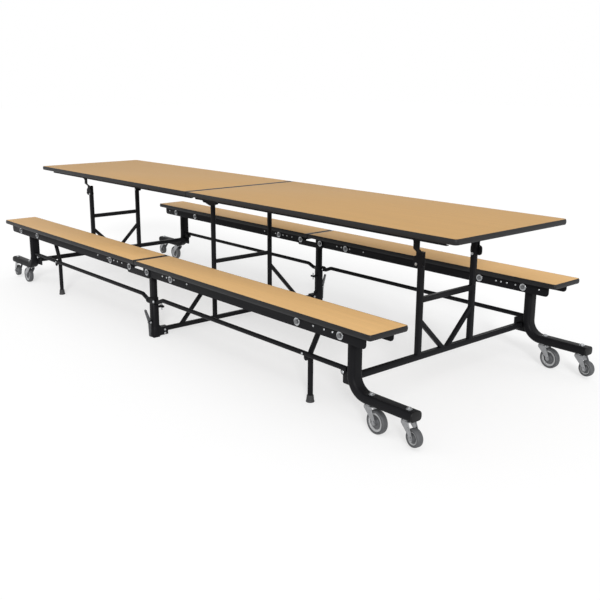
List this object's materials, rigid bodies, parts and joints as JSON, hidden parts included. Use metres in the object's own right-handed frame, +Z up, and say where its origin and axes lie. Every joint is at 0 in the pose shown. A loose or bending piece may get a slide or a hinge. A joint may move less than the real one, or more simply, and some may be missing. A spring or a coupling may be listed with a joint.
{
  "type": "cafeteria folding table with benches",
  "caption": "Long two-leaf table with a split bench along each side, on a folding link frame with swivel casters; the centre lifts and the ends roll together.",
  "frame": {"origin": "on the floor under the centre of the open table", "axes": "+X along the table, +Y across it towards the far bench, +Z up"},
  "size_m": [3.7916, 1.436, 0.774],
  "materials": {
    "laminate": "satin wood-tone laminate",
    "edge_band": "black moulded edge",
    "black_paint": "semi-gloss black powder coat",
    "zinc": "bright zinc plate",
    "wheel_grey": "grey non-marking rubber",
    "foot_rubber": "black rubber"
  },
  "bodies": {
    "right_end": {"right_end_frame": "black_paint", "near_right_caster_leg": "black_paint", "far_right_caster_leg": "black_paint"},
    "centre": {"centre_frame": "black_paint", "near_post": "black_paint", "far_post": "black_paint", "near_saddle": "black_paint", "far_saddle": "black_paint"},
    "left_end": {"left_end_frame": "black_paint", "near_left_caster_leg": "black_paint", "far_left_caster_leg": "black_paint"},
    "near_right_bench": {"near_right_bench_seat": "laminate", "near_right_bench_band": "edge_band", "near_right_bench_channel": "black_paint"},
    "near_right_lower_rod": {"near_right_rod": "black_paint"},
    "far_right_bench": {"far_right_bench_seat": "laminate", "far_right_bench_band": "edge_band", "far_right_bench_channel": "black_paint"},
    "far_right_lower_rod": {"far_right_rod": "black_paint"},
    "near_left_bench": {"near_left_bench_seat": "laminate", "near_left_bench_band": "edge_band", "near_left_bench_channel": "black_paint"},
    "near_left_lower_rod": {"near_left_rod": "black_paint"},
    "far_left_bench": {"far_left_bench_seat": "laminate", "far_left_bench_band": "edge_band", "far_left_bench_channel": "black_paint"},
    "far_left_lower_rod": {"far_left_rod": "black_paint"},
    "right_table": {"right_table_top": "laminate", "right_table_band": "edge_band", "right_table_frame": "black_paint"},
    "near_right_support": {"near_right_mid_leg": "black_paint", "near_right_ferrule": "foot_rubber"},
    "left_table": {"left_table_top": "laminate", "left_table_band": "edge_band", "left_table_frame": "black_paint"},
    "near_left_support": {"near_left_mid_leg": "black_paint", "near_left_ferrule": "foot_rubber"},
    "near_lever": {"near_lock_lever": "zinc"},
    "far_lever": {"far_lock_lever": "zinc"},
    "near_right_inner_swivel": {"near_right_inner_fork": "zinc"},
    "near_right_inner_roller": {"near_right_inner_wheel": "wheel_grey"},
    "near_right_outer_swivel": {"near_right_outer_fork": "zinc"},
    "near_right_outer_roller": {"near_right_outer_wheel": "wheel_grey"},
    "far_right_inner_swivel": {"far_right_inner_fork": "zinc"},
    "far_right_inner_roller": {"far_right_inner_wheel": "wheel_grey"},
    "far_right_outer_swivel": {"far_right_outer_fork": "zinc"},
    "far_right_outer_roller": {"far_right_outer_wheel": "wheel_grey"},
    "near_left_inner_swivel": {"near_left_inner_fork": "zinc"},
    "near_left_inner_roller": {"near_left_inner_wheel": "wheel_grey"},
    "near_left_outer_swivel": {"near_left_outer_fork": "zinc"},
    "near_left_outer_roller": {"near_left_outer_wheel": "wheel_grey"},
    "far_left_inner_swivel": {"far_left_inner_fork": "zinc"},
    "far_left_inner_roller": {"far_left_inner_wheel": "wheel_grey"},
    "far_left_outer_swivel": {"far_left_outer_fork": "zinc"},
    "far_left_outer_roller": {"far_left_outer_wheel": "wheel_grey"}
  },
  "joints": [
    {"name": "fold", "type": "hinge", "parent": "right_end", "child": "near_right_bench", "pos_m": [1.53, -0.603, 0.389], "axis": [0, 1, 0], "range_deg": [0, 80]},
    {"name": "far_right_bench_fold", "type": "hinge", "parent": "right_end", "child": "far_right_bench", "pos_m": [1.53, 0.603, 0.389], "axis": [0, 1, 0], "range_deg": [0, 80]},
    {"name": "right_table_fold", "type": "hinge", "parent": "right_end", "child": "right_table", "pos_m": [1.495, 0, 0.71], "axis": [0, 1, 0], "range_deg": [0, 80]},
    {"name": "near_right_rod_fold", "type": "hinge", "parent": "right_end", "child": "near_right_lower_rod", "pos_m": [1.472, -0.61, 0.206], "axis": [0, 1, 0], "range_deg": [0, 80]},
    {"name": "far_right_rod_fold", "type": "hinge", "parent": "right_end", "child": "far_right_lower_rod", "pos_m": [1.472, 0.61, 0.206], "axis": [0, 1, 0], "range_deg": [0, 80]},
    {"name": "near_right_support_turn", "type": "hinge", "parent": "near_right_bench", "child": "near_right_support", "pos_m": [1.303, -0.584, 0.389], "axis": [0, -1, 0], "range_deg": [0, 80]},
    {"name": "centre_turn", "type": "hinge", "parent": "near_right_bench", "child": "centre", "pos_m": [0.09, -0.61, 0.389], "axis": [0, -1, 0], "range_deg": [0, 80]},
    {"name": "near_left_bench_fold", "type": "hinge", "parent": "centre", "child": "near_left_bench", "pos_m": [-0.09, -0.61, 0.389], "axis": [0, -1, 0], "range_deg": [0, 80]},
    {"name": "near_left_rod_fold", "type": "hinge", "parent": "centre", "child": "near_left_lower_rod", "pos_m": [-0.032, -0.61, 0.206], "axis": [0, -1, 0], "range_deg": [0, 80]},
    {"name": "far_left_bench_fold", "type": "hinge", "parent": "centre", "child": "far_left_bench", "pos_m": [-0.09, 0.61, 0.389], "axis": [0, -1, 0], "range_deg": [0, 80]},
    {"name": "far_left_rod_fold", "type": "hinge", "parent": "centre", "child": "far_left_lower_rod", "pos_m": [-0.032, 0.61, 0.206], "axis": [0, -1, 0], "range_deg": [0, 80]},
    {"name": "left_table_fold", "type": "hinge", "parent": "centre", "child": "left_table", "pos_m": [-0.055, 0, 0.71], "axis": [0, -1, 0], "range_deg": [0, 80]},
    {"name": "near_left_support_turn", "type": "hinge", "parent": "near_left_bench", "child": "near_left_support", "pos_m": [-1.245, -0.584, 0.389], "axis": [0, 1, 0], "range_deg": [0, 80]},
    {"name": "left_end_turn", "type": "hinge", "parent": "near_left_bench", "child": "left_end", "pos_m": [-1.53, -0.603, 0.389], "axis": [0, 1, 0], "range_deg": [0, 80]},
    {"name": "near_lever_turn", "type": "hinge", "parent": "centre", "child": "near_lever", "pos_m": [0, -0.634, 0.087], "axis": [-1, 0, 0], "range_deg": [0, 18]},
    {"name": "far_lever_turn", "type": "hinge", "parent": "centre", "child": "far_lever", "pos_m": [0, 0.634, 0.087], "axis": [1, 0, 0], "range_deg": [0, 18]},
    {"name": "near_right_inner_swivel_turn", "type": "hinge", "parent": "right_end", "child": "near_right_inner_swivel", "pos_m": [1.627, -0.603, 0.12], "axis": [0, 0, 1], "continuous": true},
    {"name": "near_right_inner_wheel_roll", "type": "hinge", "parent": "near_right_inner_swivel", "child": "near_right_inner_roller", "pos_m": [1.66291, -0.60551, 0.05], "axis": [0.0698, 0.9976, 0], "continuous": true},
    {"name": "near_right_outer_swivel_turn", "type": "hinge", "parent": "right_end", "child": "near_right_outer_swivel", "pos_m": [1.822, -0.603, 0.12], "axis": [0, 0, 1], "continuous": true},
    {"name": "near_right_outer_wheel_roll", "type": "hinge", "parent": "near_right_outer_swivel", "child": "near_right_outer_roller", "pos_m": [1.85765, -0.60801, 0.05], "axis": [0.1392, 0.9903, 0], "continuous": true},
    {"name": "far_right_inner_swivel_turn", "type": "hinge", "parent": "right_end", "child": "far_right_inner_swivel", "pos_m": [1.627, 0.603, 0.12], "axis": [0, 0, 1], "continuous": true},
    {"name": "far_right_inner_wheel_roll", "type": "hinge", "parent": "far_right_inner_swivel", "child": "far_right_inner_roller", "pos_m": [1.66291, 0.60049, 0.05], "axis": [0.0698, 0.9976, 0], "continuous": true},
    {"name": "far_right_outer_swivel_turn", "type": "hinge", "parent": "right_end", "child": "far_right_outer_swivel", "pos_m": [1.822, 0.603, 0.12], "axis": [0, 0, 1], "continuous": true},
    {"name": "far_right_outer_wheel_roll", "type": "hinge", "parent": "far_right_outer_swivel", "child": "far_right_outer_roller", "pos_m": [1.85765, 0.59799, 0.05], "axis": [0.1392, 0.9903, 0], "continuous": true},
    {"name": "near_left_inner_swivel_turn", "type": "hinge", "parent": "left_end", "child": "near_left_inner_swivel", "pos_m": [-1.627, -0.603, 0.12], "axis": [0, 0, 1], "continuous": true},
    {"name": "near_left_inner_wheel_roll", "type": "hinge", "parent": "near_left_inner_swivel", "child": "near_left_inner_roller", "pos_m": [-1.663, -0.60237, 0.05], "axis": [-0.0175, -0.9998, 0], "continuous": true},
    {"name": "near_left_outer_swivel_turn", "type": "hinge", "parent": "left_end", "child": "near_left_outer_swivel", "pos_m": [-1.822, -0.603, 0.12], "axis": [0, 0, 1], "continuous": true},
    {"name": "near_left_outer_wheel_roll", "type": "hinge", "parent": "near_left_outer_swivel", "child": "near_left_outer_roller", "pos_m": [-1.85765, -0.59799, 0.05], "axis": [-0.1392, -0.9903, 0], "continuous": true},
    {"name": "far_left_inner_swivel_turn", "type": "hinge", "parent": "left_end", "child": "far_left_inner_swivel", "pos_m": [-1.627, 0.603, 0.12], "axis": [0, 0, 1], "continuous": true},
    {"name": "far_left_inner_wheel_roll", "type": "hinge", "parent": "far_left_inner_swivel", "child": "far_left_inner_roller", "pos_m": [-1.663, 0.60363, 0.05], "axis": [-0.0175, -0.9998, 0], "continuous": true},
    {"name": "far_left_outer_swivel_turn", "type": "hinge", "parent": "left_end", "child": "far_left_outer_swivel", "pos_m": [-1.822, 0.603, 0.12], "axis": [0, 0, 1], "continuous": true},
    {"name": "far_left_outer_wheel_roll", "type": "hinge", "parent": "far_left_outer_swivel", "child": "far_left_outer_roller", "pos_m": [-1.85765, 0.60801, 0.05], "axis": [-0.1392, -0.9903, 0], "continuous": true}
  ],
  "couplings": [
    {"joint": "far_right_bench_fold", "follows": "fold", "ratio": 1},
    {"joint": "right_table_fold", "follows": "fold", "ratio": 1},
    {"joint": "near_right_rod_fold", "follows": "fold", "ratio": 1},
    {"joint": "far_right_rod_fold", "follows": "fold", "ratio": 1},
    {"joint": "near_right_support_turn", "follows": "fold", "ratio": 1},
    {"joint": "centre_turn", "follows": "fold", "ratio": 1},
    {"joint": "near_left_bench_fold", "follows": "fold", "ratio": 1},
    {"joint": "near_left_rod_fold", "follows": "fold", "ratio": 1},
    {"joint": "far_left_bench_fold", "follows": "fold", "ratio": 1},
    {"joint": "far_left_rod_fold", "follows": "fold", "ratio": 1},
    {"joint": "left_table_fold", "follows": "fold", "ratio": 1},
    {"joint": "near_left_support_turn", "follows": "fold", "ratio": 1},
    {"joint": "left_end_turn", "follows": "fold", "ratio": 1}
  ]
}
